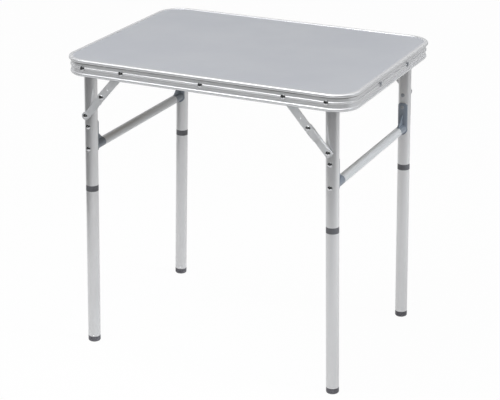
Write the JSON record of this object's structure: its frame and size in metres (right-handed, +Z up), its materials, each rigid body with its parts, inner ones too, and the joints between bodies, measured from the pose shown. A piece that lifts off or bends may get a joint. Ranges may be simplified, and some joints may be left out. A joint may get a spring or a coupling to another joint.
{
  "type": "folding table",
  "caption": "Folding table with an aluminium-framed laminate top, two fold-in tube leg frames with over-centre braces, and pull-off lower legs with collars and feet.",
  "frame": {"origin": "floor level, under the middle of the table top", "axes": "+Z up, X along the long side of the top, -Y is the front long side"},
  "size_m": [0.6, 0.45, 0.604],
  "materials": {
    "laminate": "pale grey laminate, satin",
    "frame_aluminium": "anodised extrusion, satin with bright crests",
    "tube_aluminium": "drawn tube, satin",
    "bar_aluminium": "drawn tube with fine rings, satin",
    "link_steel": "zinc plated strip",
    "rivet_steel": "bright domed heads",
    "spacer_steel": "plain turned",
    "bracket_plastic": "bluish grey moulding",
    "collar_plastic": "dark grey moulding",
    "foot_plastic": "dark grey moulding, soft",
    "block_plastic": "dark grey moulding"
  },
  "bodies": {
    "top": {"edge_frame": "frame_aluminium", "board": "laminate", "board_blocks": "block_plastic", "board_block_rivets": "rivet_steel", "leg_pivot_rivets": "rivet_steel", "leg_pivot_spacers": "spacer_steel", "brace_pivot_rivets": "rivet_steel", "brace_pivot_spacers": "spacer_steel"},
    "left_leg_frame": {"left_front_upper_leg": "tube_aluminium", "left_back_upper_leg": "tube_aluminium", "left_crossbar": "bar_aluminium", "left_front_bracket": "bracket_plastic", "left_back_bracket": "bracket_plastic", "left_bracket_rivets": "rivet_steel", "left_knee_rivets": "rivet_steel", "left_knee_spacers": "spacer_steel"},
    "left_front_upper_brace": {"left_front_upper_link": "link_steel", "left_front_mid_rivet": "rivet_steel"},
    "left_front_lower_brace": {"left_front_lower_link": "link_steel", "left_front_mid_rivet_tail": "rivet_steel"},
    "left_front_lower_leg_body": {"left_front_lower_leg": "tube_aluminium", "left_front_leg_connector": "collar_plastic", "left_front_foot": "foot_plastic"},
    "left_back_upper_brace": {"left_back_upper_link": "link_steel", "left_back_mid_rivet": "rivet_steel"},
    "left_back_lower_brace": {"left_back_lower_link": "link_steel", "left_back_mid_rivet_tail": "rivet_steel"},
    "left_back_lower_leg_body": {"left_back_lower_leg": "tube_aluminium", "left_back_leg_connector": "collar_plastic", "left_back_foot": "foot_plastic"},
    "right_leg_frame": {"right_front_upper_leg": "tube_aluminium", "right_back_upper_leg": "tube_aluminium", "right_crossbar": "bar_aluminium", "right_front_bracket": "bracket_plastic", "right_back_bracket": "bracket_plastic", "right_bracket_rivets": "rivet_steel", "right_knee_rivets": "rivet_steel", "right_knee_spacers": "spacer_steel"},
    "right_front_upper_brace": {"right_front_upper_link": "link_steel", "right_front_mid_rivet": "rivet_steel"},
    "right_front_lower_brace": {"right_front_lower_link": "link_steel", "right_front_mid_rivet_tail": "rivet_steel"},
    "right_front_lower_leg_body": {"right_front_lower_leg": "tube_aluminium", "right_front_leg_connector": "collar_plastic", "right_front_foot": "foot_plastic"},
    "right_back_upper_brace": {"right_back_upper_link": "link_steel", "right_back_mid_rivet": "rivet_steel"},
    "right_back_lower_brace": {"right_back_lower_link": "link_steel", "right_back_mid_rivet_tail": "rivet_steel"},
    "right_back_lower_leg_body": {"right_back_lower_leg": "tube_aluminium", "right_back_leg_connector": "collar_plastic", "right_back_foot": "foot_plastic"}
  },
  "joints": [
    {"name": "left_fold", "type": "hinge", "parent": "top", "child": "left_leg_frame", "pos_m": [-0.2505, 0, 0.5875], "axis": [0, -1, 0], "range_deg": [0, 91.32]},
    {"name": "left_front_upper_brace_turn", "type": "hinge", "parent": "top", "child": "left_front_upper_brace", "pos_m": [-0.167, -0.216, 0.5875], "axis": [0, -1, 0], "range_deg": [0, 131.37]},
    {"name": "left_front_lower_brace_turn", "type": "hinge", "parent": "left_leg_frame", "child": "left_front_lower_brace", "pos_m": [-0.25275, -0.213, 0.48978], "axis": [0, -1, 0], "range_deg": [-140.15, 0]},
    {"name": "left_front_leg_pull", "type": "slide", "parent": "top", "child": "left_front_lower_leg_body", "axis": [-0.023, 0, -0.9997], "range_m": [0, 0.06]},
    {"name": "left_back_upper_brace_turn", "type": "hinge", "parent": "top", "child": "left_back_upper_brace", "pos_m": [-0.167, 0.216, 0.5875], "axis": [0, -1, 0], "range_deg": [0, 131.37]},
    {"name": "left_back_lower_brace_turn", "type": "hinge", "parent": "left_leg_frame", "child": "left_back_lower_brace", "pos_m": [-0.25275, 0.213, 0.48978], "axis": [0, -1, 0], "range_deg": [-140.15, 0]},
    {"name": "left_back_leg_pull", "type": "slide", "parent": "top", "child": "left_back_lower_leg_body", "axis": [-0.023, 0, -0.9997], "range_m": [0, 0.06]},
    {"name": "right_fold", "type": "hinge", "parent": "top", "child": "right_leg_frame", "pos_m": [0.2505, 0, 0.5875], "axis": [0, 1, 0], "range_deg": [0, 91.32]},
    {"name": "right_front_upper_brace_turn", "type": "hinge", "parent": "top", "child": "right_front_upper_brace", "pos_m": [0.167, -0.216, 0.5875], "axis": [0, 1, 0], "range_deg": [0, 131.37]},
    {"name": "right_front_lower_brace_turn", "type": "hinge", "parent": "right_leg_frame", "child": "right_front_lower_brace", "pos_m": [0.25275, -0.213, 0.48978], "axis": [0, 1, 0], "range_deg": [-140.15, 0]},
    {"name": "right_front_leg_pull", "type": "slide", "parent": "top", "child": "right_front_lower_leg_body", "axis": [0.023, 0, -0.9997], "range_m": [0, 0.06]},
    {"name": "right_back_upper_brace_turn", "type": "hinge", "parent": "top", "child": "right_back_upper_brace", "pos_m": [0.167, 0.216, 0.5875], "axis": [0, 1, 0], "range_deg": [0, 131.37]},
    {"name": "right_back_lower_brace_turn", "type": "hinge", "parent": "right_leg_frame", "child": "right_back_lower_brace", "pos_m": [0.25275, 0.213, 0.48978], "axis": [0, 1, 0], "range_deg": [-140.15, 0]},
    {"name": "right_back_leg_pull", "type": "slide", "parent": "top", "child": "right_back_lower_leg_body", "axis": [0.023, 0, -0.9997], "range_m": [0, 0.06]}
  ],
  "couplings": [
    {"joint": "left_front_upper_brace_turn", "follows": "left_fold", "ratio": 1.4374},
    {"joint": "left_front_lower_brace_turn", "follows": "left_fold", "ratio": -1.5337},
    {"joint": "left_back_upper_brace_turn", "follows": "left_fold", "ratio": 1.4374},
    {"joint": "left_back_lower_brace_turn", "follows": "left_fold", "ratio": -1.5337},
    {"joint": "right_front_upper_brace_turn", "follows": "right_fold", "ratio": 1.4374},
    {"joint": "right_front_lower_brace_turn", "follows": "right_fold", "ratio": -1.5337},
    {"joint": "right_back_upper_brace_turn", "follows": "right_fold", "ratio": 1.4374},
    {"joint": "right_back_lower_brace_turn", "follows": "right_fold", "ratio": -1.5337}
  ]
}
